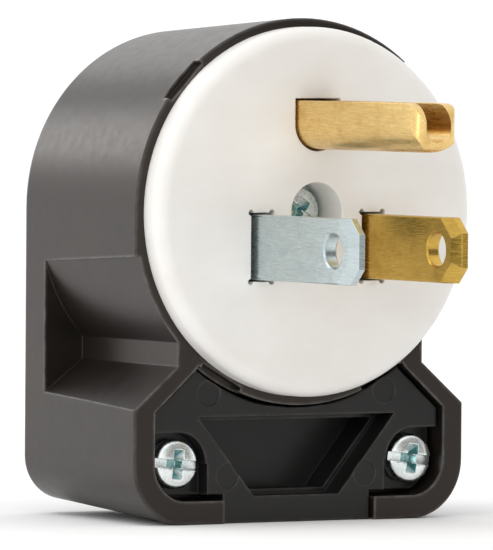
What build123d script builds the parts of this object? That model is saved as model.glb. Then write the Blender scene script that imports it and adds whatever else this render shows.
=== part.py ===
from build123d import *
import math
import os

# Right-angle rewirable plug: two flat blades and a U-section ground pin on a white
# dead-front face, in a black housing whose foot holds a two-screw cord clamp.
#
# The pieces are drawn about the face disc's axis: Y is that axis and runs backwards into
# the plug, Y = 0 is the disc's front, +Z is up and +X is right as seen from the front.
# On export they rise so that the origin is midway between the flat blades on the face.
# All sizes are in millimetres.

# ---- Blades, by the 15 A 125 V plug standard -------------------------------------------
BLADE_PITCH = 12.7
BLADE_WIDTH = 6.35
BLADE_THICKNESS = 1.52
NEUTRAL_LENGTH = 18.2
LINE_LENGTH = 16.7
BLADE_DROP = 3.36            # the blades' centre line lies this far below the disc's centre
BLADE_CORNER = 1.5           # the tip's corners are cut at 45 degrees
BLADE_ROUNDING = 0.2
BEVEL_LENGTH = 1.3           # each side thins towards the tip and its corners
BEVEL_DEPTH = 0.42
DETENT_RADIUS = 1.62
DETENT_CHAMFER = 0.18
DETENT_FROM_TIP = 4.0
PAD_CORNER = 1.2
FOLD_RADIUS = 1.3
BLADE_X = BLADE_PITCH / 2
BLADE_Z = -BLADE_DROP
BLADE_MIDDLE_Y = 1.0         # inside the slot, where the rounded prong meets the plain stem

GROUND_Z = BLADE_Z + 11.89
GROUND_RADIUS = 2.38
GROUND_LENGTH = 21.8
GROUND_TOP = 10.9
GROUND_WALL = 1.0
NOSE_BOTTOM = 2.1            # the nose's roundings, seen from the side and from above
NOSE_TOP = 2.5
NOSE_SIDES = 1.5

# ---- Face disc --------------------------------------------------------------------------
FACE_RADIUS = 18.06
FACE_PROUD = 2.75
FACE_ROUNDING = 1.3
SPIGOT_RADIUS = 16.2
SPIGOT_BACK = 6.0
SLOT_SIDE_GAP = 0.42
SLOT_END_GAP = 0.18
SLOT_CORNER_RELIEF = 0.3
GROUND_SLOT_GAP = 0.2
HOLE_ROUNDING = 0.15
PEG_RADIUS = 1.2
PEG_GAP = 0.08
PEG_HEAD_RADIUS = 1.8
PEG_HEAD_HEIGHT = 0.7
PEG_PLACES = [(-8.5, -10.6), (8.5, -10.6), (-8.5, 8.6)]

# ---- Housing ----------------------------------------------------------------------------
RING_RADIUS = 18.93
HOUSING_DEPTH = 24.05
DRAFT = 3.37                 # degrees, all round
FOOT_DROP = 30.4
FOOT_CORNER = 5.8
BACK_ROUNDING = 0.8
RIM_ROUNDING = 0.25
CAVITY_RADIUS = 16.55
BACK_WALL = 2.6
RECESS_DEPTH = 19.3
RECESS_DRAFT = 1.3           # of the cup's wall inside the recess
NECK_FRONT = (14.05, -4.25)  # half the neck's width and the recess's top, at the rim
NECK_BACK = (13.45, -5.2)    # the same at the recess's back
SHOULDER_TOP = -14.95
SHOULDER_SLOPE_FRONT = 0.86
SHOULDER_SLOPE_BACK = 0.74
NOTCH_WIDTH = 5.0
NOTCH_DEPTH = 0.65
NOTCH_LENGTH = 1.1
NOTCH_ANGLES = [43.5, 136.5, -119.5, -60.5]
BOSS_RADIUS = 4.0
BOSS_FRONT = 16.2

RIM_Y = FACE_PROUD
BACK_Y = RIM_Y + HOUSING_DEPTH
CAVITY_BACK = BACK_Y - BACK_WALL

# ---- Cord clamp and the pocket it sits in ----------------------------------------------
CLAMP_FRONT = RIM_Y + 0.7
CLAMP_GAP = 0.25
CLAMP_FOOT_GAP = 0.55
CLAMP_ROUNDING = 0.2
CLAMP_POCKET_HALF = 16.6
CLAMP_POCKET_BOTTOM = -28.1
CLAMP_POCKET_CORNER = 3.6
CLAMP_SHOULDER = (12.1, -15.4)
CLAMP_SHOULDER_FOOT = -19.4
CLAMP_NECK_HALF = 11.4
EAR_SEAT = RIM_Y + 2.45
EAR_BACK = EAR_SEAT + 2.0
SEAT_GAP = 0.05
TONGUE_HALF = 8.65
CORE_TOP_HALF = 11.3
CORE_BOTTOM_HALF = 4.9
CORE_TOP = -19.95
CORE_BOTTOM = -27.75
CORE_STEP_DEPTH = 2.6
CORE_DEPTH = 5.9
CORE_STEP_INSET = 0.5
CORE_WALL = 1.0
CORE_FLOOR = 3.25
WEDGE_GAP = 0.25
WEDGE_BACK = CLAMP_FRONT + CORE_DEPTH + CORE_FLOOR
GRIP_RADIUS = 4.6
GRIP_Y = CAVITY_BACK - GRIP_RADIUS
SADDLE_HALF = 5.2
EXIT_LIP_HALF = 6.0
SADDLE_BACK = GRIP_Y - 3.1
SADDLE_THICKNESS = 1.3
SADDLE_HEIGHTS = [-20.9, -23.6, -26.3]
TROUGH_HALF = 8.3
TROUGH_FLARE_Y = 14.6
TROUGH_FRONT = 12.9
EJECTOR_MARKS = [(7.9, -25.8), (10.1, -17.7)]
EJECTOR_RADIUS = 1.25
EJECTOR_DEPTH = 0.12

# ---- Screws and inserts -----------------------------------------------------------------
HEAD_ROUNDING = 0.45
DRIVE_SLOT_WIDTH = 0.42      # shares of the head's radius, and of its height for the depths
DRIVE_SLOT_DEPTH = 0.42
CROSS_REACH = 0.62
CROSS_HALF_WIDTH = 0.17
CROSS_DEPTH = 0.32
TIP_CHAMFER = 0.5
RUNNING_GAP = 0.05
PRESS_GAP = 0.02
CLAMP_SCREW_X = 13.5
CLAMP_SCREW_Z = -24.5
CLAMP_SCREW_RADIUS = 1.58
CLAMP_HEAD_RADIUS = 2.45
CLAMP_HEAD_HEIGHT = 1.8
CLAMP_SHANK_LENGTH = 12.0
CLAMP_HEAD_POCKET = 3.1
CLAMP_POCKET_INNER = 10.2
INSERT_GROOVE = 0.4          # its depth, and half its width
CLAMP_INSERT_RADIUS = 2.5
CLAMP_INSERT_FRONT = 8.2
CLAMP_INSERT_LENGTH = 5.0

ASSEMBLY_HOLE_RADIUS = 2.9
ASSEMBLY_HEAD_FRONT = 3.2
ASSEMBLY_HEAD_RADIUS = 2.5
ASSEMBLY_HEAD_HEIGHT = 1.6
ASSEMBLY_SHANK_RADIUS = 1.7
ASSEMBLY_SHANK_LENGTH = 17.2
ASSEMBLY_INSERT_RADIUS = 2.7
ASSEMBLY_INSERT_LENGTH = 6.2
WASHER_RADIUS = 2.8
WASHER_FRONT = 15.2
WASHER_THICKNESS = 0.6
WASHER_WELL_RADIUS = 3.1
WASHER_WELL_FLOOR = 7.3

# ---- Terminals --------------------------------------------------------------------------
PAD_THICKNESS = BLADE_THICKNESS
PAD_OUTER_X = 14.2
PAD_BACK = SPIGOT_BACK + PAD_THICKNESS
TERMINAL_X = 10.8
GROUND_TERMINAL = (7.0, 8.2)
TERMINAL_SHANK_RADIUS = 1.7
TERMINAL_SHANK_LENGTH = 6.2
TERMINAL_HEAD_RADIUS = 2.7
TERMINAL_HEAD_HEIGHT = 2.0
TERMINAL_WELL_RADIUS = 2.1
TERMINAL_WELL_FLOOR = 2.2
PLATE_SIZE = 5.8
PLATE_THICKNESS = 1.2
PLATE_CORNER = 0.6
PLATE_GAP = 0.08
WIRE_GROOVE_RADIUS = 0.8
WIRE_GROOVE_X = 2.3
WIRE_GROOVE_SINK = 0.35      # the groove's axis lies this far inside the pad
PAD_GAP = 0.1
GROUND_PAD_REACH = 3.4       # the ground pad, measured from its terminal
GROUND_PAD_BELOW = 3.0
GROUND_PAD_ABOVE = 2.6
GROUND_PAD_CORNER = 1.0
BAY_GAP = 0.35

CARRIER_RADIUS = 15.8
CARRIER_BACK = 11.0
BARRIER_BACK = 14.4
BARRIER_THICKNESS = 1.1
BARRIER_HALF_SPAN = 13.5
SIDE_BARRIER_X = 6.6
SIDE_BARRIER_BOTTOM = -9.0


# ---- Drawing helpers --------------------------------------------------------------------
def slab(outline, y_front, y_back, taper=0.0):
    """Extrude an outline drawn in X and Z from one depth back to another."""
    placed = Plane.XZ.offset(-y_front) * outline
    return extrude(placed, amount=y_back - y_front, dir=(0, 1, 0), taper=taper)


def rod(radius, y_front, y_back, x=0.0, z=0.0):
    """A round bar along Y."""
    return slab(Pos(x, z) * Circle(radius), y_front, y_back)


def block(x_low, x_high, y_low, y_high, z_low, z_high):
    """A box between stated limits."""
    size = (x_high - x_low, y_high - y_low, z_high - z_low)
    middle = ((x_low + x_high) / 2, (y_low + y_high) / 2, (z_low + z_high) / 2)
    return Pos(*middle) * Box(*size)


def panel(x_low, x_high, z_low, z_high):
    """A flat rectangle between stated limits in X and Z."""
    middle = Pos((x_low + x_high) / 2, (z_low + z_high) / 2)
    return middle * Rectangle(x_high - x_low, z_high - z_low)


def outline_of(points):
    """A flat face bounded by straight lines through the points."""
    return make_face(Polyline(*points, close=True))


def both_sides(shape):
    """A shape and its mirror image across the middle plane."""
    return shape + mirror(shape, about=Plane.YZ)


# ---- Housing ----------------------------------------------------------------------------
def housing_envelope():
    """The tapered outer body: a round top over a square foot."""
    foot = panel(-RING_RADIUS, RING_RADIUS, -FOOT_DROP, 0)
    foot = fillet(foot.vertices().sort_by(Axis.Y)[:2], FOOT_CORNER)
    body = slab(Circle(RING_RADIUS) + foot, RIM_Y, BACK_Y, taper=DRAFT)
    body = fillet(body.faces().sort_by(Axis.Y)[-1].edges(), BACK_ROUNDING)
    return fillet(body.faces().sort_by(Axis.Y)[0].edges(), RIM_ROUNDING)


def recess_outline(neck_half, top, shoulder_slope):
    """The right finger recess from the front, between the round top and the foot's shoulder."""
    outside = RING_RADIUS + 3
    return outline_of([
        (neck_half, top),
        (outside, top),
        (outside, SHOULDER_TOP - shoulder_slope * (outside - neck_half)),
        (neck_half, SHOULDER_TOP),
    ])


def side_recess():
    """The space of the right finger recess, which narrows a little towards its back wall."""
    front = recess_outline(*NECK_FRONT, SHOULDER_SLOPE_FRONT)
    back = recess_outline(*NECK_BACK, SHOULDER_SLOPE_BACK)
    ends = [Plane.XZ.offset(-RIM_Y) * front, Plane.XZ.offset(-RIM_Y - RECESS_DEPTH) * back]
    hollow = loft(ends, ruled=True) + slab(front, RIM_Y - 1, RIM_Y)
    return hollow - slab(Circle(RING_RADIUS), RIM_Y - 1, BACK_Y, taper=RECESS_DRAFT)


def rim_notch(angle):
    """One small notch in the outer edge of the housing's ring."""
    inner = RING_RADIUS - NOTCH_DEPTH
    outer = RING_RADIUS + 0.1
    half = NOTCH_WIDTH / 2
    return Rot(0, -angle, 0) * block(inner, outer, RIM_Y - 1, RIM_Y + NOTCH_LENGTH, -half, half)


def clamp_outline(inset=0.0):
    """The outline of the clamp's front plate, or with no inset of the pocket it sits in."""
    shoulder_x, shoulder_z = CLAMP_SHOULDER
    half = CLAMP_POCKET_HALF
    outline = outline_of([
        (-CLAMP_NECK_HALF, -14.5),
        (CLAMP_NECK_HALF, -14.5),
        (shoulder_x, shoulder_z),
        (half, CLAMP_SHOULDER_FOOT),
        (half, CLAMP_POCKET_BOTTOM),
        (-half, CLAMP_POCKET_BOTTOM),
        (-half, CLAMP_SHOULDER_FOOT),
        (-shoulder_x, shoulder_z),
    ])
    outline = fillet(outline.vertices().sort_by(Axis.Y)[:2], CLAMP_POCKET_CORNER)
    if inset:
        outline = offset(outline, -inset, kind=Kind.INTERSECTION)
    return outline - Circle(RING_RADIUS + inset)


def core_outline(grow=0.0):
    """The trapezoid that the clamp's wedge is cored with, grown or shrunk on every side."""
    outline = outline_of([
        (-CORE_TOP_HALF, CORE_TOP),
        (CORE_TOP_HALF, CORE_TOP),
        (CORE_BOTTOM_HALF, CORE_BOTTOM),
        (-CORE_BOTTOM_HALF, CORE_BOTTOM),
    ])
    if grow:
        outline = offset(outline, grow, kind=Kind.INTERSECTION)
    return outline


def cord_trough():
    """The space behind the clamp that the cord runs through, from the foot up into the cavity."""
    back = Pos(0, GRIP_Y) * Circle(GRIP_RADIUS)
    flare = outline_of([
        (-TROUGH_HALF, TROUGH_FRONT),
        (TROUGH_HALF, TROUGH_FRONT),
        (TROUGH_HALF, TROUGH_FLARE_Y),
        (GRIP_RADIUS, GRIP_Y),
        (-GRIP_RADIUS, GRIP_Y),
        (-TROUGH_HALF, TROUGH_FLARE_Y),
    ])
    section = Plane.XY.offset(-FOOT_DROP - 1) * (back + flare)
    return extrude(section, amount=FOOT_DROP + 1 - CAVITY_RADIUS + 4, dir=(0, 0, 1))


def clamp_screw_hole():
    """The right clamp screw's stepped hole, with its insert's seat."""
    place = {"x": CLAMP_SCREW_X, "z": CLAMP_SCREW_Z}
    insert_back = CLAMP_INSERT_FRONT + CLAMP_INSERT_LENGTH
    seat = rod(CLAMP_INSERT_RADIUS + PRESS_GAP, EAR_BACK, insert_back, **place)
    tip_back = EAR_SEAT + CLAMP_SHANK_LENGTH + 0.6
    return seat + rod(CLAMP_SCREW_RADIUS + 0.3, insert_back, tip_back, **place)


def make_housing():
    body = housing_envelope()
    body -= both_sides(side_recess())
    body -= slab(Circle(CAVITY_RADIUS), RIM_Y, CAVITY_BACK, taper=DRAFT)
    body += rod(BOSS_RADIUS, BOSS_FRONT, CAVITY_BACK + 0.5)
    insert_back = BOSS_FRONT + ASSEMBLY_INSERT_LENGTH
    body -= rod(ASSEMBLY_INSERT_RADIUS + PRESS_GAP, BOSS_FRONT, insert_back)
    body -= rod(ASSEMBLY_SHANK_RADIUS + 0.3, insert_back, insert_back + 0.8)
    body -= cord_trough()
    body -= slab(clamp_outline(), RIM_Y - 1, EAR_BACK + SEAT_GAP)
    wedge_pocket = core_outline(CORE_WALL + WEDGE_GAP) - Circle(RING_RADIUS)
    body -= slab(wedge_pocket, RIM_Y - 1, TROUGH_FLARE_Y)
    exit_slot = panel(-TONGUE_HALF, TONGUE_HALF, -FOOT_DROP - 1, CORE_BOTTOM)
    body -= slab(exit_slot, RIM_Y - 1, TROUGH_FLARE_Y)
    body -= both_sides(clamp_screw_hole())
    for angle in NOTCH_ANGLES:
        body -= rim_notch(angle)
    return body


# ---- Face, contacts and carrier ---------------------------------------------------------
def ground_outline(grow=0.0):
    """The ground pin's outer section: a half-round under straight sides."""
    radius = GROUND_RADIUS + grow
    sides = panel(-radius, radius, GROUND_Z, GROUND_TOP + grow)
    return Pos(0, GROUND_Z) * Circle(radius) + sides


def blade_slot():
    """The slot for the right blade, with small round reliefs in its corners."""
    half_x = BLADE_THICKNESS / 2 + SLOT_SIDE_GAP
    half_z = BLADE_WIDTH / 2 + SLOT_END_GAP
    outline = panel(BLADE_X - half_x, BLADE_X + half_x, BLADE_Z - half_z, BLADE_Z + half_z)
    for x in (BLADE_X - half_x, BLADE_X + half_x):
        for z in (BLADE_Z - half_z, BLADE_Z + half_z):
            outline += Pos(x, z) * Circle(SLOT_CORNER_RELIEF)
    return outline


def face_piece():
    disc = rod(FACE_RADIUS, 0, FACE_PROUD)
    disc = fillet(disc.faces().sort_by(Axis.Y)[0].edges(), FACE_ROUNDING)
    face = disc + rod(SPIGOT_RADIUS, FACE_PROUD, SPIGOT_BACK)
    counterbore_floor = ASSEMBLY_HEAD_FRONT + ASSEMBLY_HEAD_HEIGHT
    face -= rod(ASSEMBLY_HOLE_RADIUS, -1, counterbore_floor)
    circles = face.edges().filter_by(GeomType.CIRCLE)
    rims = circles.filter_by(lambda edge: edge.radius < ASSEMBLY_HOLE_RADIUS + 0.1)
    face = fillet(rims.sort_by(Axis.Y)[0], HOLE_ROUNDING)
    face -= both_sides(slab(blade_slot(), -1, SPIGOT_BACK + 1))
    face -= slab(ground_outline(GROUND_SLOT_GAP), -1, SPIGOT_BACK + 1)
    face -= rod(ASSEMBLY_SHANK_RADIUS + 0.1, counterbore_floor, SPIGOT_BACK + 1)
    for x, z in terminal_places():
        face -= rod(TERMINAL_WELL_RADIUS, TERMINAL_WELL_FLOOR, SPIGOT_BACK + 1, x, z)
    for x, z in PEG_PLACES:
        face += rod(PEG_RADIUS, SPIGOT_BACK - 0.5, CARRIER_BACK + 0.1, x, z)
        face += rod(PEG_HEAD_RADIUS, CARRIER_BACK, CARRIER_BACK + PEG_HEAD_HEIGHT, x, z)
    return face


def terminal_places():
    """Centres of the three terminal screws: neutral, line and ground."""
    return [(-TERMINAL_X, BLADE_Z), (TERMINAL_X, BLADE_Z), GROUND_TERMINAL]


def tip_outline(length, inset):
    """A blade's outline from the side, from its tip to inside the slot, drawn in at the tip."""
    half = BLADE_WIDTH / 2
    tip_half = half - BLADE_CORNER - inset * (math.sqrt(2) - 1)
    corner_y = BLADE_CORNER + inset * math.sqrt(2) - length
    return outline_of([
        (inset - length, BLADE_Z - tip_half),
        (inset - length, BLADE_Z + tip_half),
        (corner_y, BLADE_Z + half),
        (BLADE_MIDDLE_Y, BLADE_Z + half),
        (BLADE_MIDDLE_Y, BLADE_Z - half),
        (corner_y, BLADE_Z - half),
    ])


def prong(length):
    """The right blade in front of the face: a rounded bar that thins towards its tip."""
    half = BLADE_THICKNESS / 2
    core_half = half - BEVEL_DEPTH
    full = tip_outline(length, 0)
    shape = extrude(Plane.YZ.offset(BLADE_X - core_half) * full, amount=2 * core_half, dir=(1, 0, 0))
    for side in (-1, 1):
        inner = Plane.YZ.offset(BLADE_X + side * core_half) * full
        outer = Plane.YZ.offset(BLADE_X + side * half) * tip_outline(length, BEVEL_LENGTH)
        shape += loft([inner, outer], ruled=True)
    section = Pos(BLADE_X, BLADE_Z) * RectangleRounded(BLADE_THICKNESS, BLADE_WIDTH, BLADE_ROUNDING)
    return shape & slab(section, -length - 1, BLADE_MIDDLE_Y)


def blade_piece(side, length):
    """A flat blade whose inner end is folded outwards into a terminal pad."""
    low = BLADE_X - BLADE_THICKNESS / 2
    high = BLADE_X + BLADE_THICKNESS / 2
    bottom = BLADE_Z - BLADE_WIDTH / 2
    top = BLADE_Z + BLADE_WIDTH / 2
    stem = block(low, high, BLADE_MIDDLE_Y - 0.1, PAD_BACK, bottom, top)
    pad = block(high - 0.4, PAD_OUTER_X, SPIGOT_BACK, PAD_BACK, bottom, top)
    pad = fillet(pad.edges().filter_by(Axis.Y).group_by(Axis.X)[-1], PAD_CORNER)
    contact = stem + pad
    fold = contact.edges().filter_by(Axis.Z).filter_by_position(Axis.X, low - 0.01, low + 0.01)
    contact = fillet(fold.sort_by(Axis.Y)[-1:], FOLD_RADIUS)
    contact += prong(length)
    detent = Pos(BLADE_X, DETENT_FROM_TIP - length, BLADE_Z) * Rot(0, 90, 0) * Cylinder(DETENT_RADIUS, 4)
    contact -= detent
    rims = contact.edges().filter_by(GeomType.CIRCLE)
    rims = rims.filter_by(lambda edge: abs(edge.radius - DETENT_RADIUS) < 0.01)
    contact = chamfer(rims, DETENT_CHAMFER)
    contact -= rod(TERMINAL_SHANK_RADIUS + RUNNING_GAP, 0, PAD_BACK + 1, TERMINAL_X, BLADE_Z)
    if side < 0:
        contact = mirror(contact, about=Plane.YZ)
    return contact


def ground_nose():
    """The space that the ground pin's rounded nose fills, far longer than the pin behind."""
    bottom = GROUND_Z - GROUND_RADIUS
    side_view = outline_of([
        (-GROUND_LENGTH, bottom), (-GROUND_LENGTH, GROUND_TOP), (BACK_Y, GROUND_TOP), (BACK_Y, bottom)
    ])
    tip = side_view.vertices().sort_by(Axis.X)[:2].sort_by(Axis.Y)
    side_view = fillet(tip[0], NOSE_BOTTOM)
    side_view = fillet(side_view.vertices().sort_by(Axis.X).group_by(Axis.Y)[-1][0], NOSE_TOP)
    seen_from_side = extrude(Plane.YZ * side_view, amount=2 * GROUND_RADIUS, both=True)
    plan = outline_of([
        (-GROUND_RADIUS, -GROUND_LENGTH), (GROUND_RADIUS, -GROUND_LENGTH),
        (GROUND_RADIUS, BACK_Y), (-GROUND_RADIUS, BACK_Y),
    ])
    plan = fillet(plan.vertices().group_by(Axis.Y)[0], NOSE_SIDES)
    return seen_from_side & extrude(plan, amount=2 * GROUND_TOP, both=True)


def ground_piece():
    """A folded U-section pin, open upwards, with its terminal pad behind the face."""
    pin = slab(ground_outline(), -GROUND_LENGTH, PAD_BACK) & ground_nose()
    inner = GROUND_RADIUS - GROUND_WALL
    channel = Pos(0, GROUND_Z) * Circle(inner) + panel(-inner, inner, GROUND_Z, GROUND_TOP + 5)
    pin -= slab(channel, -GROUND_LENGTH - 1, SPIGOT_BACK)
    terminal_x, terminal_z = GROUND_TERMINAL
    right = terminal_x + GROUND_PAD_REACH
    low = terminal_z - GROUND_PAD_BELOW
    high = terminal_z + GROUND_PAD_ABOVE
    pad = block(0, right, SPIGOT_BACK, PAD_BACK, low, high)
    pad = fillet(pad.edges().filter_by(Axis.Y).group_by(Axis.X)[-1], GROUND_PAD_CORNER)
    pin += pad
    pin -= rod(TERMINAL_SHANK_RADIUS + RUNNING_GAP, 0, PAD_BACK + 1, terminal_x, terminal_z)
    return pin


def carrier_piece():
    """The insulating plate behind the face that traps the contacts and parts their wires."""
    carrier = rod(CARRIER_RADIUS, SPIGOT_BACK, CARRIER_BACK)
    barrier_top = GROUND_TERMINAL[1] - PLATE_SIZE / 2 - BAY_GAP
    half = BARRIER_THICKNESS / 2
    span = BARRIER_HALF_SPAN
    low = barrier_top - BARRIER_THICKNESS
    carrier += block(-span, span, CARRIER_BACK - 1, BARRIER_BACK, low, barrier_top)
    for x in (-SIDE_BARRIER_X, SIDE_BARRIER_X):
        side = block(x - half, x + half, CARRIER_BACK - 1, BARRIER_BACK, SIDE_BARRIER_BOTTOM, barrier_top)
        carrier += side
    carrier += rod(WASHER_WELL_RADIUS + 1.2, CARRIER_BACK - 1, BARRIER_BACK)
    carrier -= both_sides(pad_recess())
    carrier -= both_sides(terminal_bay())
    carrier -= ground_recess()
    carrier -= ground_bay()
    carrier -= rod(WASHER_WELL_RADIUS, WASHER_WELL_FLOOR, BARRIER_BACK + 1)
    carrier -= rod(ASSEMBLY_SHANK_RADIUS + 0.1, SPIGOT_BACK - 1, WASHER_WELL_FLOOR + 1)
    for x, z in PEG_PLACES:
        carrier -= rod(PEG_RADIUS + PEG_GAP, SPIGOT_BACK - 1, CARRIER_BACK + 1, x, z)
    return carrier


def pad_recess():
    """Room in the carrier's front for the right blade's fold and pad."""
    half = BLADE_WIDTH / 2 + PAD_GAP
    low = BLADE_X - BLADE_THICKNESS / 2 - PAD_GAP
    back = PAD_BACK + PRESS_GAP
    return block(low, CARRIER_RADIUS + 1, SPIGOT_BACK - 1, back, BLADE_Z - half, BLADE_Z + half)


def terminal_bay():
    """The opening in the carrier over the right blade's terminal, open outwards for the wire."""
    half = PLATE_SIZE / 2 + BAY_GAP
    low = TERMINAL_X - half
    return block(low, CARRIER_RADIUS + 1, SPIGOT_BACK, BARRIER_BACK + 1, BLADE_Z - half, BLADE_Z + half)


def ground_recess():
    """Room in the carrier's front for the ground contact's pad."""
    x, z = GROUND_TERMINAL
    front = SPIGOT_BACK - 1
    back = PAD_BACK + PRESS_GAP
    half = GROUND_RADIUS + PAD_GAP
    bottom = GROUND_Z - GROUND_RADIUS - 2 * PAD_GAP
    around_pin = block(-half, half, front, back, bottom, GROUND_TOP + 2 * PAD_GAP)
    right = x + GROUND_PAD_REACH + PAD_GAP
    low = z - GROUND_PAD_BELOW - PAD_GAP
    around_pad = block(0, right, front, back, low, z + GROUND_PAD_ABOVE + PAD_GAP)
    return around_pin + around_pad


def ground_bay():
    """The opening in the carrier over the ground terminal, open upwards for the wire."""
    x, z = GROUND_TERMINAL
    half = PLATE_SIZE / 2 + BAY_GAP
    return block(x - half, x + half, SPIGOT_BACK, BARRIER_BACK + 1, z - half, CARRIER_RADIUS + 1)


def pressure_plate(x, z):
    """A square plate with two wire grooves, pressed onto its pad by the terminal screw."""
    half = PLATE_SIZE / 2
    plate = block(x - half, x + half, PAD_BACK, PAD_BACK + PLATE_THICKNESS, z - half, z + half)
    plate = fillet(plate.edges().filter_by(Axis.Y), PLATE_CORNER)
    groove = Pos(x, PAD_BACK - WIRE_GROOVE_SINK, z) * Cylinder(WIRE_GROOVE_RADIUS, PLATE_SIZE + 2)
    for side in (-1, 1):
        plate -= Pos(side * WIRE_GROOVE_X, 0) * groove
    return plate - rod(TERMINAL_SHANK_RADIUS + PLATE_GAP, PAD_BACK - 1, PAD_BACK + 3, x, z)


# ---- Screws, washer and inserts ---------------------------------------------------------
def headed_screw(head_radius, head_height, shank_radius, shank_length, slot_angle=0.0):
    """A screw along Y with its seat at Y = 0: a slot and cross head in front, its shank behind."""
    head = rod(head_radius, -head_height, 0)
    head = fillet(head.faces().sort_by(Axis.Y)[0].edges(), HEAD_ROUNDING)
    front = -head_height - 1
    across = head_radius + 1
    slot_half = DRIVE_SLOT_WIDTH * head_radius / 2
    slot_floor = (DRIVE_SLOT_DEPTH - 1) * head_height
    slot = block(-across, across, front, slot_floor, -slot_half, slot_half)
    reach = CROSS_REACH * head_radius
    half = CROSS_HALF_WIDTH * head_radius
    cross_floor = -CROSS_DEPTH * head_height
    cross = block(-reach, reach, front, cross_floor, -half, half)
    cross += block(-half, half, front, cross_floor, -reach, reach)
    head -= Rot(0, slot_angle, 0) * (slot + cross)
    shank = rod(shank_radius, 0, shank_length)
    shank = chamfer(shank.faces().sort_by(Axis.Y)[-1].edges(), TIP_CHAMFER)
    return head + shank


def clamp_screw(side):
    screw = headed_screw(CLAMP_HEAD_RADIUS, CLAMP_HEAD_HEIGHT, CLAMP_SCREW_RADIUS, CLAMP_SHANK_LENGTH)
    return Pos(side * CLAMP_SCREW_X, EAR_SEAT, CLAMP_SCREW_Z) * screw


def assembly_screw_piece():
    screw = headed_screw(
        ASSEMBLY_HEAD_RADIUS, ASSEMBLY_HEAD_HEIGHT, ASSEMBLY_SHANK_RADIUS, ASSEMBLY_SHANK_LENGTH, 35
    )
    return Pos(0, ASSEMBLY_HEAD_FRONT + ASSEMBLY_HEAD_HEIGHT, 0) * screw


def terminal_screw(x, z):
    screw = headed_screw(
        TERMINAL_HEAD_RADIUS, TERMINAL_HEAD_HEIGHT, TERMINAL_SHANK_RADIUS, TERMINAL_SHANK_LENGTH
    )
    return Pos(x, PAD_BACK + PLATE_THICKNESS, z) * Rot(0, 0, 180) * screw


def washer_piece():
    back = WASHER_FRONT + WASHER_THICKNESS
    ring = rod(WASHER_RADIUS, WASHER_FRONT, back)
    return ring - rod(ASSEMBLY_SHANK_RADIUS + RUNNING_GAP, WASHER_FRONT - 1, back + 1)


def insert_piece(outer_radius, bore_radius, y_front, length, x=0.0, z=0.0):
    """A brass insert with a waist groove, its bore standing for the thread's crests."""
    y_back = y_front + length
    insert = rod(outer_radius, y_front, y_back, x, z)
    middle = (y_front + y_back) / 2
    groove = rod(outer_radius + 1, middle - INSERT_GROOVE, middle + INSERT_GROOVE, x, z)
    groove -= rod(outer_radius - INSERT_GROOVE, y_front, y_back, x, z)
    return insert - groove - rod(bore_radius, y_front - 1, y_back + 1, x, z)


# ---- Cord clamp -------------------------------------------------------------------------
def screw_head_pocket():
    """The right screw's pocket in the clamp's front, open to the plate's side and bottom."""
    outside = CLAMP_POCKET_HALF + 1
    low = CLAMP_POCKET_BOTTOM - 1
    outline = Pos(CLAMP_SCREW_X, CLAMP_SCREW_Z) * Circle(CLAMP_HEAD_POCKET)
    outline += panel(CLAMP_SCREW_X, outside, low, CLAMP_SCREW_Z + CLAMP_HEAD_POCKET)
    outline += panel(CLAMP_POCKET_INNER, outside, low, CLAMP_SCREW_Z)
    return slab(outline, CLAMP_FRONT - 1, EAR_SEAT)


def saddle(z):
    """One cross ridge behind the wedge, hollowed to grip the cord."""
    low = z - SADDLE_THICKNESS / 2
    high = z + SADDLE_THICKNESS / 2
    ridge = block(-SADDLE_HALF, SADDLE_HALF, WEDGE_BACK - 0.5, SADDLE_BACK, low, high)
    cord = Pos(0, GRIP_Y, z) * Cylinder(GRIP_RADIUS, SADDLE_THICKNESS + 1)
    return ridge - cord


def tongue():
    """The clamp's foot, which closes the front of the cord's exit."""
    half = TONGUE_HALF - CLAMP_GAP
    floor = CORE_BOTTOM - CORE_WALL
    wall = block(-half, half, CLAMP_FRONT, TROUGH_FLARE_Y - CLAMP_GAP, -FOOT_DROP, floor)
    narrow = block(-EXIT_LIP_HALF, EXIT_LIP_HALF, TROUGH_FLARE_Y - 1, SADDLE_BACK, -FOOT_DROP, floor)
    link = block(-half, half, CLAMP_FRONT, EAR_BACK, floor - 0.1, CORE_BOTTOM + 1)
    cord = Pos(0, GRIP_Y, floor) * Cylinder(GRIP_RADIUS + 0.3, 2 * FOOT_DROP)
    return wall + narrow + link - cord


def clamp_piece():
    below = panel(-CLAMP_POCKET_HALF, CLAMP_POCKET_HALF, -FOOT_DROP, CLAMP_POCKET_BOTTOM + CLAMP_FOOT_GAP)
    clamp = slab(clamp_outline(CLAMP_GAP) - below, CLAMP_FRONT, EAR_BACK)
    clamp = fillet(clamp.faces().sort_by(Axis.Y)[0].edges(), CLAMP_ROUNDING)
    wedge = core_outline(CORE_WALL) - Circle(RING_RADIUS + CLAMP_GAP)
    clamp += slab(wedge, CLAMP_FRONT, WEDGE_BACK)
    clamp += tongue()
    clamp -= slab(core_outline(), CLAMP_FRONT - 1, CLAMP_FRONT + CORE_STEP_DEPTH)
    clamp -= slab(core_outline(-CORE_STEP_INSET), CLAMP_FRONT, CLAMP_FRONT + CORE_DEPTH)
    clamp -= both_sides(screw_head_pocket())
    hole = rod(CLAMP_SCREW_RADIUS + 0.07, CLAMP_FRONT, EAR_BACK + 1, CLAMP_SCREW_X, CLAMP_SCREW_Z)
    clamp -= both_sides(hole)
    for x, z in EJECTOR_MARKS:
        clamp -= both_sides(rod(EJECTOR_RADIUS, CLAMP_FRONT - 1, CLAMP_FRONT + EJECTOR_DEPTH, x, z))
    for z in SADDLE_HEIGHTS:
        clamp += saddle(z)
    return clamp & housing_envelope()


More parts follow.
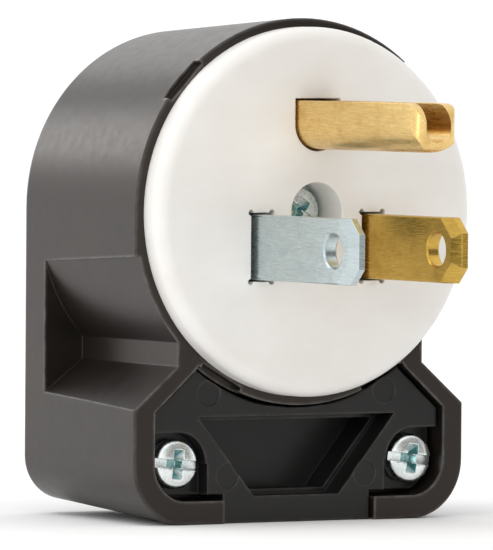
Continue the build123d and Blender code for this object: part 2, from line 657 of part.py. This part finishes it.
# ---- Assembly ---------------------------------------------------------------------------
def make_pieces():
    """Every piece of the plug, by name."""
    neutral, line, ground = terminal_places()
    pieces = {
        "housing": make_housing(),
        "face": face_piece(),
        "contact_carrier": carrier_piece(),
        "neutral_blade": blade_piece(-1, NEUTRAL_LENGTH),
        "line_blade": blade_piece(1, LINE_LENGTH),
        "ground_pin": ground_piece(),
        "assembly_screw": assembly_screw_piece(),
        "assembly_screw_washer": washer_piece(),
        "cord_clamp": clamp_piece(),
        "assembly_insert": insert_piece(
            ASSEMBLY_INSERT_RADIUS,
            ASSEMBLY_SHANK_RADIUS + RUNNING_GAP,
            BOSS_FRONT,
            ASSEMBLY_INSERT_LENGTH,
        ),
    }
    for name, place in {"neutral": neutral, "line": line, "ground": ground}.items():
        pieces[name + "_pressure_plate"] = pressure_plate(*place)
        pieces[name + "_terminal_screw"] = terminal_screw(*place)
    for name, side in {"left": -1, "right": 1}.items():
        pieces[name + "_clamp_screw"] = clamp_screw(side)
        pieces[name + "_clamp_insert"] = insert_piece(
            CLAMP_INSERT_RADIUS,
            CLAMP_SCREW_RADIUS + RUNNING_GAP,
            CLAMP_INSERT_FRONT,
            CLAMP_INSERT_LENGTH,
            side * CLAMP_SCREW_X,
            CLAMP_SCREW_Z,
        )
    return pieces


os.makedirs("parts", exist_ok=True)
for piece_name, piece in make_pieces().items():
    export_step(Pos(0, 0, BLADE_DROP) * piece, f"parts/{piece_name}.step")
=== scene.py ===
"""Looks of the right-angle plug: its materials, detailed screws, studio and camera.

Every object is in metres in the CAD frame: -Y is the way the blades point, +Z is up.
Lengths given in millimetres are multiplied by MM.
"""

import math

import bmesh
import bpy
from mathutils import Matrix, Vector


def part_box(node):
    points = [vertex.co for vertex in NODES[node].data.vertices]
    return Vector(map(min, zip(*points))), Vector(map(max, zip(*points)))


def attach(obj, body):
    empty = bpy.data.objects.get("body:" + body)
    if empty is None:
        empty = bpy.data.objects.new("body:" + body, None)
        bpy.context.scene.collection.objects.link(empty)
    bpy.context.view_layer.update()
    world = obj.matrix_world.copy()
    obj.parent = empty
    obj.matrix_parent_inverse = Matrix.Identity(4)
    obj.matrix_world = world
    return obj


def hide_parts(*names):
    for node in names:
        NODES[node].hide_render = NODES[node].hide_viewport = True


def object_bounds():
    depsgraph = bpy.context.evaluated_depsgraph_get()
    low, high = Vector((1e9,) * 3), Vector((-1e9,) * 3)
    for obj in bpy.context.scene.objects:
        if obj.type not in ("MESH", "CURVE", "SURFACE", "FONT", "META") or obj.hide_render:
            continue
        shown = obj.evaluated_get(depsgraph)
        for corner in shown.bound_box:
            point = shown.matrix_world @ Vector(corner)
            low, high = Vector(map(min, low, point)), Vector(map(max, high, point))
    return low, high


MM = 0.001

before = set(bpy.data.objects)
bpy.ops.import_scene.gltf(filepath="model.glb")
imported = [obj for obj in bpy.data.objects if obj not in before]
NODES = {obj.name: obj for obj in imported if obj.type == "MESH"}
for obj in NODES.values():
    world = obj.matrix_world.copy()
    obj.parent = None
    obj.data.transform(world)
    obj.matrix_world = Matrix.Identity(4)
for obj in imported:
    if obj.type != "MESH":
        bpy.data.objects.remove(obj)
CAD_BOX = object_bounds()
LOW, HIGH = (Vector(corner) for corner in CAD_BOX)
MIDDLE = (LOW + HIGH) / 2


# ---- Materials --------------------------------------------------------------------------
DRIVE_WINGS = "drive_wings"  # 1 on the faces of a screw's cross, 0 elsewhere; the zinc finishes paint shade there
NOISE_ROUGHNESS = 0.55       # how strong a noise's finer grains are
# the paler nylon of the outer edges: partly wear, partly a painted edge highlight
WORN_AND_HIGHLIT_NYLON = (0.14, 0.13, 0.12)
WEAR_AND_HIGHLIGHT_REACH = 0.35            # mm from an outer edge that the paler wear and painted edge highlight reach into the nylon
PAINTED_SHADE_REACH = 0.9           # mm across a recess over which zinc is painted darker: painted shade


class Surface:
    """A node material whose texture coordinates are the object's own, in millimetres."""

    def __init__(self, name):
        self.material = bpy.data.materials.new(name)
        self.material.use_nodes = True
        self.tree = self.material.node_tree
        self.tree.nodes.clear()
        self.output = self.add("ShaderNodeOutputMaterial")
        self.shader = self.add("ShaderNodeBsdfPrincipled")
        self.join(self.shader.outputs[0], self.output.inputs["Surface"])
        coordinates = self.add("ShaderNodeTexCoord")
        scale = self.add("ShaderNodeVectorMath", operation="SCALE")
        scale.inputs["Scale"].default_value = 1 / MM
        self.join(coordinates.outputs["Object"], scale.inputs[0])
        self.place = scale.outputs[0]

    def add(self, kind, **settings):
        node = self.tree.nodes.new(kind)
        for name, value in settings.items():
            setattr(node, name, value)
        return node

    def join(self, source, target):
        self.tree.links.new(source, target)

    def fix(self, socket, value):
        """A value that is the same all over the surface."""
        self.shader.inputs[socket].default_value = value

    def feed(self, socket, source):
        self.join(source, self.shader.inputs[socket])

    def noise(self, per_mm, detail=3.0, stretch=(1, 1, 1)):
        """Noise with so many grains to the millimetre, finer or coarser along each axis."""
        mapping = self.add("ShaderNodeMapping")
        mapping.inputs["Scale"].default_value = [per_mm * share for share in stretch]
        self.join(self.place, mapping.inputs["Vector"])
        noise = self.add("ShaderNodeTexNoise")
        noise.inputs["Scale"].default_value = 1.0
        noise.inputs["Detail"].default_value = detail
        noise.inputs["Roughness"].default_value = NOISE_ROUGHNESS
        self.join(mapping.outputs[0], noise.inputs["Vector"])
        return noise.outputs["Fac"]

    def spread(self, value, low, high, to_low=0.0, to_high=1.0):
        """Values from low to high spread over another range, and held at its ends."""
        node = self.add("ShaderNodeMapRange")
        node.inputs["From Min"].default_value = low
        node.inputs["From Max"].default_value = high
        node.inputs["To Min"].default_value = to_low
        node.inputs["To Max"].default_value = to_high
        self.join(value, node.inputs["Value"])
        return node.outputs["Result"]

    def combine(self, operation, first, second):
        """Arithmetic on two values; either may be a plain number."""
        node = self.add("ShaderNodeMath", operation=operation)
        for socket, value in zip(node.inputs, (first, second)):
            if isinstance(value, (int, float)):
                socket.default_value = value
            else:
                self.join(value, socket)
        return node.outputs[0]

    def blend(self, factor, first, second):
        """A colour between two others; each is a triple or another node's output."""
        node = self.add("ShaderNodeMix", data_type="RGBA")
        self.join(factor, node.inputs["Factor"])
        for name, value in (("A", first), ("B", second)):
            socket = [entry for entry in node.inputs if entry.name == name and entry.type == "RGBA"][0]
            if isinstance(value, tuple):
                socket.default_value = (*value, 1.0)
            else:
                self.join(value, socket)
        return [entry for entry in node.outputs if entry.type == "RGBA"][0]

    def soft_edges(self, radius_mm):
        """The shading normal with every sharp edge rounded to this radius."""
        bevel = self.add("ShaderNodeBevel", samples=6)
        bevel.inputs["Radius"].default_value = radius_mm * MM
        return bevel.outputs["Normal"]

    def openness(self, distance_mm, inside=False):
        """1 where no surface is near, and less in hollows, or from inside less at outer edges."""
        near = self.add("ShaderNodeAmbientOcclusion", samples=6, inside=inside)
        near.inputs["Distance"].default_value = distance_mm * MM
        return near.outputs["AO"]

    def edge_mask(self, rounded):
        """1 on the edges that soft_edges has rounded and 0 on flat and smooth surfaces."""
        geometry = self.add("ShaderNodeNewGeometry")
        dot = self.add("ShaderNodeVectorMath", operation="DOT_PRODUCT")
        self.join(rounded, dot.inputs[0])
        self.join(geometry.outputs["Normal"], dot.inputs[1])
        return self.spread(dot.outputs["Value"], 0.995, 0.86)

    def bump(self, height, depth_mm, normal):
        """The normal with relief of this depth between a height of 0 and 1."""
        node = self.add("ShaderNodeBump")
        node.inputs["Distance"].default_value = depth_mm * MM
        self.join(height, node.inputs["Height"])
        self.join(normal, node.inputs["Normal"])
        return node.outputs["Normal"]

    def clear_from_behind(self):
        """Let the surface be seen through from its back, and be solid from its front."""
        geometry = self.add("ShaderNodeNewGeometry")
        clear = self.add("ShaderNodeBsdfTransparent")
        mix = self.add("ShaderNodeMixShader")
        self.join(geometry.outputs["Backfacing"], mix.inputs[0])
        self.join(self.shader.outputs[0], mix.inputs[1])
        self.join(clear.outputs[0], mix.inputs[2])
        self.join(mix.outputs[0], self.output.inputs["Surface"])


def black_nylon(name, dark, light, gloss_tint, ior, edge_wear_and_highlight):
    """Moulded black nylon: a fine grain in a satin gloss, paler along its outer edges, as wear and as a
    painted edge highlight.
    """
    surface = Surface(name)
    surface.fix("IOR", ior)
    surface.fix("Specular Tint", (*gloss_tint, 1.0))
    rounded = surface.soft_edges(0.2)
    edges = surface.spread(surface.openness(WEAR_AND_HIGHLIGHT_REACH, inside=True), 0.9, 0.62)
    flow = surface.noise(0.14, detail=3.0)
    tone = surface.blend(surface.spread(flow, 0.35, 0.7), dark, light)
    rubbed = surface.spread(surface.noise(0.8), 0.36, 0.66, 0.3 * edge_wear_and_highlight, edge_wear_and_highlight)
    # paler outer edges: partly wear, partly a painted edge highlight
    wear_and_highlight_mask = surface.combine("MULTIPLY", edges, rubbed)
    surface.feed("Base Color", surface.blend(wear_and_highlight_mask, tone, WORN_AND_HIGHLIT_NYLON))
    rough = surface.spread(surface.noise(0.9, detail=5.0), 0.3, 0.7, 0.30, 0.36)
    surface.feed("Roughness", surface.combine("SUBTRACT", rough, surface.combine("MULTIPLY", wear_and_highlight_mask, 0.1)))
    waves = surface.bump(flow, 0.004, rounded)
    surface.feed("Normal", surface.bump(surface.noise(9.0, detail=2.0), 0.0012, waves))
    return surface.material


def white_nylon():
    """Moulded white nylon: slightly translucent, with a faint flow pattern and soft edges."""
    surface = Surface("white_nylon")
    surface.fix("IOR", 1.5)
    surface.fix("Subsurface Weight", 0.12)
    surface.fix("Subsurface Scale", 0.6 * MM)
    surface.fix("Subsurface Radius", (1.0, 0.9, 0.8))
    rounded = surface.soft_edges(0.15)
    flow = surface.noise(0.12, detail=3.0, stretch=(1, 1, 1.8))
    tone = surface.blend(surface.spread(flow, 0.35, 0.68), (0.835, 0.812, 0.775), (0.875, 0.86, 0.83))
    surface.feed("Base Color", tone)
    surface.feed("Roughness", surface.spread(surface.noise(0.9, detail=4.0), 0.3, 0.7, 0.40, 0.52))
    waves = surface.bump(flow, 0.03, rounded)
    surface.feed("Normal", surface.bump(surface.noise(6.0, detail=2.0), 0.003, waves))
    return surface.material


# how fast a metal's lines change along X, Y and Z
DRAWN_ROUND = (1, 0.06, 1)
ROLLED_FLAT = (0.08, 0.06, 1)


def drawn_metal(name, dark, light, tarnish, roughness, along=DRAWN_ROUND):
    """Rolled or drawn metal: fine lines along one axis, tarnish in patches, bright edges."""
    surface = Surface(name)
    surface.fix("Metallic", 1.0)
    rounded = surface.soft_edges(0.12)
    edges = surface.edge_mask(rounded)
    lines = surface.noise(9.0, detail=3.0, stretch=along)
    patches = surface.noise(0.45, detail=4.0)
    tone = surface.blend(surface.spread(lines, 0.3, 0.7), dark, light)
    tone = surface.blend(surface.spread(patches, 0.52, 0.75, 0.0, 0.6), tone, tarnish)
    surface.feed("Base Color", surface.blend(surface.combine("MULTIPLY", edges, 0.7), tone, light))
    base = surface.spread(lines, 0.3, 0.7, roughness - 0.05, roughness + 0.07)
    surface.feed("Roughness", surface.combine("ADD", base, surface.spread(patches, 0.45, 0.75, 0.0, 0.12)))
    surface.feed("Normal", surface.bump(lines, 0.0018, rounded))
    return surface.material


def zinc_plate(name, pale, tint, dull):
    """Bright zinc with a passivated tint that lies in patches, and painted shade, dark and tinted, in its
    recesses and over the drive's cross.
    """
    surface = Surface(name)
    surface.fix("Metallic", 1.0)
    rounded = surface.soft_edges(0.10)
    edges = surface.edge_mask(rounded)
    patches = surface.noise(1.6, detail=4.0)
    grain = surface.noise(12.0, detail=2.0)
    wings = surface.add("ShaderNodeAttribute", attribute_name=DRIVE_WINGS)
    # painted shade: darker and tinted in the recesses and over the drive's cross
    painted_shade = surface.spread(surface.openness(PAINTED_SHADE_REACH), 0.24, 0.58, 1.0, 0.0)
    painted_shade = surface.combine("MAXIMUM", painted_shade, surface.combine("MULTIPLY", wings.outputs["Fac"], 0.85))
    tone = surface.blend(surface.spread(patches, 0.42, 0.7, 0.0, 0.7), pale, tint)
    tone = surface.blend(painted_shade, tone, dull)
    surface.feed("Base Color", surface.blend(surface.combine("MULTIPLY", edges, 0.8), tone, pale))
    surface.feed("Roughness", surface.spread(grain, 0.3, 0.7, 0.20, 0.34))
    surface.feed("Normal", surface.bump(grain, 0.004, rounded))
    return surface.material


def studio_white():
    """The plain pale floor, with the least trace of paper grain."""
    surface = Surface("studio_white")
    surface.fix("Roughness", 0.9)
    surface.fix("Specular IOR Level", 0.1)
    tone = surface.blend(surface.noise(0.01), (0.93, 0.93, 0.93), (0.95, 0.95, 0.95))
    surface.feed("Base Color", tone)
    surface.clear_from_behind()
    return surface.material


def make_finishes():
    """The finish of each of the record's material slots, and those in OWN_FINISH."""
    return {
        "black_nylon": black_nylon(
            "black_nylon", (0.0100, 0.0082, 0.0070), (0.0135, 0.0110, 0.0095), (0.97, 0.86, 0.79), 1.50, 0.9
        ),
        "clamp_nylon": black_nylon(
            "clamp_nylon", (0.0080, 0.0078, 0.0076), (0.0105, 0.0102, 0.0100), (1.0, 0.98, 0.97), 1.45, 0.3
        ),
        "white_nylon": white_nylon(),
        "nickel_plate": drawn_metal(
            "nickel_plate", (0.48, 0.55, 0.56), (0.60, 0.68, 0.69), (0.40, 0.47, 0.49), 0.24, ROLLED_FLAT
        ),
        "brass": drawn_metal("brass", (0.74, 0.50, 0.18), (0.90, 0.65, 0.28), (0.58, 0.35, 0.10), 0.25),
        # a darker copy of the brass for the line blade: painted shade
        "line_brass_painted_shade": drawn_metal(
            "line_brass_painted_shade", (0.54, 0.34, 0.07), (0.70, 0.46, 0.10), (0.42, 0.22, 0.03), 0.25, ROLLED_FLAT
        ),
        # the third colour of each zinc finish is the painted shade of its recesses
        "zinc_plate": zinc_plate("zinc_plate", (0.92, 0.95, 0.94), (0.68, 0.80, 0.82), (0.16, 0.38, 0.38)),
        "green_screw": zinc_plate("green_screw", (0.25, 0.55, 0.28), (0.10, 0.38, 0.16), (0.03, 0.15, 0.06)),
    }


# nodes that look a little different from the rest of their slot; the line blade's brass is darker as painted
# shade
OWN_FINISH = {"line_blade": "line_brass_painted_shade", "cord_clamp": "clamp_nylon"}


def dress_nodes(finishes):
    """Each CAD node's own material, by the slot the record gives it."""
    for name, node in NODES.items():
        for place in node.material_slots:
            slot = place.material.name.split(".")[0]
            place.material = finishes[OWN_FINISH.get(name, slot)]


# ---- Screws -----------------------------------------------------------------------------
THREAD_DEPTH = 0.24 * MM
SEAT_GAP = 0.02 * MM         # between a head and what it bears on
TURN_STEPS = 40              # facets around a screw
STEPS_PER_THREAD = 8
EDGE_STEPS = 6               # points round the edge of a head's dome
SLOT_FLOOR = -0.55           # in head heights: the seat is at 0 and the head's front at -1
CUTTER_PROUD = 0.5 * MM      # how far a cutter stands out of the head
SOFT_EDGE = 0.05 * MM
SOFTEN_FROM = math.radians(40)
SHARP_FROM = math.radians(38)


def pan_head_profile(radius, height):
    """Radius and depth from the head's middle, over its domed edge, to its seat."""
    dome = 0.16 * height
    edge = 0.34 * height
    points = [(radius * share, -height + dome * share ** 2) for share in (0.25, 0.5, 0.72)]
    for step in range(EDGE_STEPS):
        angle = math.radians(90 * step / (EDGE_STEPS - 1))
        points.append((
            radius - edge * (1 - math.sin(angle)) * 0.9,
            -height + dome * 0.72 + edge * (1 - math.cos(angle)),
        ))
    points.append((radius, -0.12 * height))
    points.append((radius * 0.97, -SEAT_GAP))
    return points


def screw_mesh(name, head_radius, head_height, shank_radius, shank_length, pitch):
    """A screw along +Y with its seat at 0: domed head in front, helical thread behind."""
    builder = bmesh.new()
    angles = [2 * math.pi * step / TURN_STEPS for step in range(TURN_STEPS)]

    def ring(depth, radius_at):
        return [
            builder.verts.new((radius_at(a) * math.cos(a), depth, radius_at(a) * math.sin(a))) for a in angles
        ]

    rings = [ring(y, lambda a, r=r: r) for r, y in pan_head_profile(head_radius, head_height)]
    neck = 0.25 * pitch
    rings.append(ring(-SEAT_GAP, lambda a: shank_radius))
    rings.append(ring(neck, lambda a: shank_radius))
    tip = 0.9 * pitch
    count = int((shank_length - neck) / pitch * STEPS_PER_THREAD)
    for step in range(1, count + 1):
        y = neck + (shank_length - neck) * step / count

        def thread(a, y=y):
            phase = (y / pitch + a / (2 * math.pi)) % 1.0
            crest = shank_radius - THREAD_DEPTH * abs(2 * phase - 1) * min(1.0, (y - neck) / (0.5 * pitch))
            return crest - max(0.0, y - shank_length + tip) * 0.5

        rings.append(ring(y, thread))
    for first, second in zip(rings, rings[1:]):
        for step in range(TURN_STEPS):
            following = (step + 1) % TURN_STEPS
            builder.faces.new((first[step], first[following], second[following], second[step]))
    for end in (rings[0], rings[-1]):
        centre = builder.verts.new((0, end[0].co.y, 0))
        for step in range(TURN_STEPS):
            builder.faces.new((end[step], end[(step + 1) % TURN_STEPS], centre))
    bmesh.ops.recalc_face_normals(builder, faces=builder.faces)
    mesh = bpy.data.meshes.new(name)
    builder.to_mesh(mesh)
    builder.free()
    return mesh


def tapered_block(builder, half_x, half_z, front, back, taper_x, taper_z):
    """A closed block along Y whose back end is narrower by the two shares."""
    corners = []
    for depth, share_x, share_z in ((front, 1, 1), (back, taper_x, taper_z)):
        for x, z in ((-1, -1), (1, -1), (1, 1), (-1, 1)):
            corners.append(builder.verts.new((x * half_x * share_x, depth, z * half_z * share_z)))
    builder.faces.new(corners[:4])
    builder.faces.new(corners[4:])
    for step in range(4):
        following = (step + 1) % 4
        builder.faces.new((corners[step], corners[following], corners[following + 4], corners[step + 4]))


def drive_cutters(head_radius, head_height):
    """The straight slot and the two tapered wings of the cross, as separate closed solids."""
    front = -head_height - CUTTER_PROUD
    # half widths in head radii, floor in head heights, and the taper along X and Z
    slot = (1.2, 0.2, SLOT_FLOOR, 1.0, 0.9)
    wing_along = (0.62, 0.22, -0.10, 0.34, 0.5)
    wing_across = (0.27, 0.72, -0.10, 0.5, 0.34)
    cutters = []
    for half_x, half_z, floor, taper_x, taper_z in (slot, wing_along, wing_across):
        builder = bmesh.new()
        tapered_block(
            builder, half_x * head_radius, half_z * head_radius, front, floor * head_height, taper_x, taper_z
        )
        bmesh.ops.recalc_face_normals(builder, faces=builder.faces)
        mesh = bpy.data.meshes.new("cutter")
        builder.to_mesh(mesh)
        builder.free()
        cutter = bpy.data.objects.new("cutter", mesh)
        bpy.context.scene.collection.objects.link(cutter)
        cutters.append(cutter)
    return cutters


def mark_wings(mesh, head_radius, head_height):
    """Mark the faces of the cross that lie beside and below the straight slot, where the zinc finishes paint
    shade.
    """
    wings = mesh.attributes.new(DRIVE_WINGS, "FLOAT", "FACE")
    for polygon in mesh.polygons:
        x, y, z = polygon.center
        inside = math.hypot(x, z) < 0.74 * head_radius
        below = -0.75 * head_height < y < -0.02 * head_height
        at_slot_floor = abs(y - SLOT_FLOOR * head_height) < 0.02 * head_height
        on_slot_floor = at_slot_floor and abs(polygon.normal.y) > 0.9
        wings.data[polygon.index].value = float(inside and below and not on_slot_floor)


def apply_modifiers(thing):
    """Work the object's modifiers into its mesh."""
    bpy.context.view_layer.update()
    graph = bpy.context.evaluated_depsgraph_get()
    mesh = bpy.data.meshes.new_from_object(thing.evaluated_get(graph))
    thing.modifiers.clear()
    thing.data = mesh


def detailed_screw(node, finishes, slot, kind, drive_turn, faces_front=True):
    """A screw with a cut drive and a real thread, in the place of its plain CAD node.

    It hangs from an empty named after its node, takes the finish of the given slot, and hides the plain node.
    """
    head_height, shank_radius, pitch = kind
    low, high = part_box(node)
    head_radius = (high.x - low.x) / 2
    length = high.y - low.y - head_height
    mesh = screw_mesh(node + "_detailed", head_radius, head_height, shank_radius, length, pitch)
    screw = bpy.data.objects.new(node + "_detailed", mesh)
    bpy.context.scene.collection.objects.link(screw)
    for cutter in drive_cutters(head_radius, head_height):
        cutter.rotation_euler = (0, math.radians(drive_turn), 0)
        cut = screw.modifiers.new("drive", "BOOLEAN")
        cut.operation = "DIFFERENCE"
        cut.solver = "EXACT"
        cut.object = cutter
        apply_modifiers(screw)
        bpy.data.objects.remove(cutter)
    soften = screw.modifiers.new("soften", "BEVEL")
    soften.width = SOFT_EDGE
    soften.segments = 2
    soften.limit_method = "ANGLE"
    soften.angle_limit = SOFTEN_FROM
    apply_modifiers(screw)
    for polygon in screw.data.polygons:
        polygon.use_smooth = True
    screw.data.set_sharp_from_angle(angle=SHARP_FROM)
    mark_wings(screw.data, head_radius, head_height)
    screw.data.materials.clear()
    screw.data.materials.append(finishes[slot])
    seat = low.y + head_height if faces_front else high.y - head_height
    turn = Matrix.Identity(4) if faces_front else Matrix.Rotation(math.pi, 4, "Z")
    centre = Vector(((low.x + high.x) / 2, seat, (low.z + high.z) / 2))
    screw.data.transform(Matrix.Translation(centre) @ turn)
    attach(screw, node)
    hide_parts(node)


# Head height, shank radius and pitch: the CAD model's sizes, and its couplings' pitches.
COARSE_SHANK = 1.7 * MM
COARSE_PITCH = 0.794 * MM
CLAMP_SCREW = (1.8 * MM, 1.58 * MM, 0.635 * MM)
ASSEMBLY_SCREW = (1.6 * MM, COARSE_SHANK, COARSE_PITCH)
TERMINAL_SCREW = (2.0 * MM, COARSE_SHANK, COARSE_PITCH)


def build_screws(finishes):
    """The six screws, each with its drive turned a different way."""
    for side, turn in (("left", 5), ("right", 7)):
        detailed_screw(side + "_clamp_screw", finishes, "zinc_plate", CLAMP_SCREW, turn)
    detailed_screw("assembly_screw", finishes, "zinc_plate", ASSEMBLY_SCREW, 35)
    poles = (("neutral", "nickel_plate", 20), ("line", "brass", 75), ("ground", "green_screw", 130))
    for pole, slot, turn in poles:
        detailed_screw(pole + "_terminal_screw", finishes, slot, TERMINAL_SCREW, turn, faces_front=False)


# ---- Studio -----------------------------------------------------------------------------
WORLD_STRENGTH = 1.08
FLOOR_SIZE = 8.0
CARD_DIRECTION = math.radians(32)   # to the right of straight in front of the face
CARD_DISTANCE = 0.5
CARD_WIDTH = 0.5
CARD_HEIGHT = 0.6


def stage_plane(name, centre, facing, width, height, material):
    """A flat stage panel that faces along a direction."""
    mesh = bpy.data.meshes.new(name)
    corners = [(-width / 2, -height / 2, 0), (width / 2, -height / 2, 0)]
    corners += [(width / 2, height / 2, 0), (-width / 2, height / 2, 0)]
    mesh.from_pydata(corners, [], [(0, 1, 2, 3)])
    mesh.materials.append(material)
    panel = bpy.data.objects.new(name, mesh)
    bpy.context.scene.collection.objects.link(panel)
    turn = Vector(facing).to_track_quat("Z", "Y").to_matrix().to_4x4()
    panel.matrix_world = Matrix.Translation(centre) @ turn
    return panel


def softbox(name, azimuth, elevation, distance, width, height, radiance):
    """A rectangular light that faces the object, placed by its direction from it.

    An azimuth of 0 is in front of the face, and one of -90 is to its left.
    """
    across = math.cos(math.radians(elevation))
    direction = Vector((
        math.sin(math.radians(azimuth)) * across,
        -math.cos(math.radians(azimuth)) * across,
        math.sin(math.radians(elevation)),
    ))
    light = bpy.data.lights.new(name, "AREA")
    light.shape = "RECTANGLE"
    light.size = width
    light.size_y = height
    light.energy = radiance * math.pi * width * height
    lamp = bpy.data.objects.new(name, light)
    bpy.context.scene.collection.objects.link(lamp)
    turn = direction.to_track_quat("Z", "Y").to_matrix().to_4x4()
    lamp.matrix_world = Matrix.Translation(MIDDLE + direction * distance) @ turn
    lamp.visible_camera = False


def grey_card_finish():
    """A dull grey for the card that stands out of view, for the object to mirror."""
    surface = Surface("grey_card")
    surface.fix("Roughness", 1.0)
    tone = surface.blend(surface.noise(0.02), (0.20, 0.19, 0.18), (0.24, 0.23, 0.22))
    surface.feed("Base Color", tone)
    return surface.material


def build_studio():
    """A white world, a pale floor, the grey card and four softboxes."""
    world = bpy.data.worlds.new("studio")
    world.use_nodes = True
    background = world.node_tree.nodes["Background"]
    background.inputs["Color"].default_value = (1, 1, 1, 1)
    background.inputs["Strength"].default_value = WORLD_STRENGTH
    bpy.context.scene.world = world

    floor_place = Vector((MIDDLE.x, MIDDLE.y, LOW.z))
    stage_plane("floor", floor_place, (0, 0, 1), FLOOR_SIZE, FLOOR_SIZE, studio_white())

    towards_card = Vector((math.sin(CARD_DIRECTION), -math.cos(CARD_DIRECTION), 0.0))
    card_place = MIDDLE + towards_card * CARD_DISTANCE
    card = stage_plane("grey_card", card_place, -towards_card, CARD_WIDTH, CARD_HEIGHT, grey_card_finish())
    card.visible_camera = False

    softbox("back_left_softbox", -160, 19, 0.8, 0.28, 0.2, 2.7)
    softbox("back_softbox", 168, 30, 0.9, 0.3, 0.12, 1.5)
    softbox("top_left_softbox", -100, 62, 0.8, 0.6, 0.35, 1.25)
    softbox("front_left_softbox", -70, 8, 1.0, 0.22, 0.5, 2.6)


# ---- Camera -----------------------------------------------------------------------------
# Angles in degrees; an azimuth of 0 looks straight at the face.
CAMERA_AZIMUTH = -31.637
CAMERA_ELEVATION = 1.842
CAMERA_ROLL = 0.43
CAMERA_DISTANCE = 808 * MM
CAMERA_TARGET = Vector((-6.34, 2.75, -2.78)) * MM
CAMERA_LENS = 543.1


def build_camera():
    """A long lens, nearly level and to the left of the face, turned a little about its axis."""
    azimuth = math.radians(CAMERA_AZIMUTH)
    elevation = math.radians(CAMERA_ELEVATION)
    roll = math.radians(CAMERA_ROLL)
    across = math.cos(elevation)
    back = Vector((math.sin(azimuth) * across, -math.cos(azimuth) * across, math.sin(elevation)))
    level = Vector((math.cos(azimuth), math.sin(azimuth), 0))
    upright = back.cross(level)
    right = level * math.cos(roll) + upright * math.sin(roll)
    up = upright * math.cos(roll) - level * math.sin(roll)
    data = bpy.data.cameras.new("camera")
    data.lens = CAMERA_LENS
    data.sensor_width = 36
    data.clip_start = 0.05
    camera = bpy.data.objects.new("camera", data)
    bpy.context.scene.collection.objects.link(camera)
    turn = Matrix((right, up, back)).transposed().to_4x4()
    camera.matrix_world = Matrix.Translation(CAMERA_TARGET + back * CAMERA_DISTANCE) @ turn
    bpy.context.scene.camera = camera


build_camera()
build_studio()
finishes = make_finishes()
dress_nodes(finishes)
build_screws(finishes)
bpy.context.scene.view_settings.view_transform = "Standard"
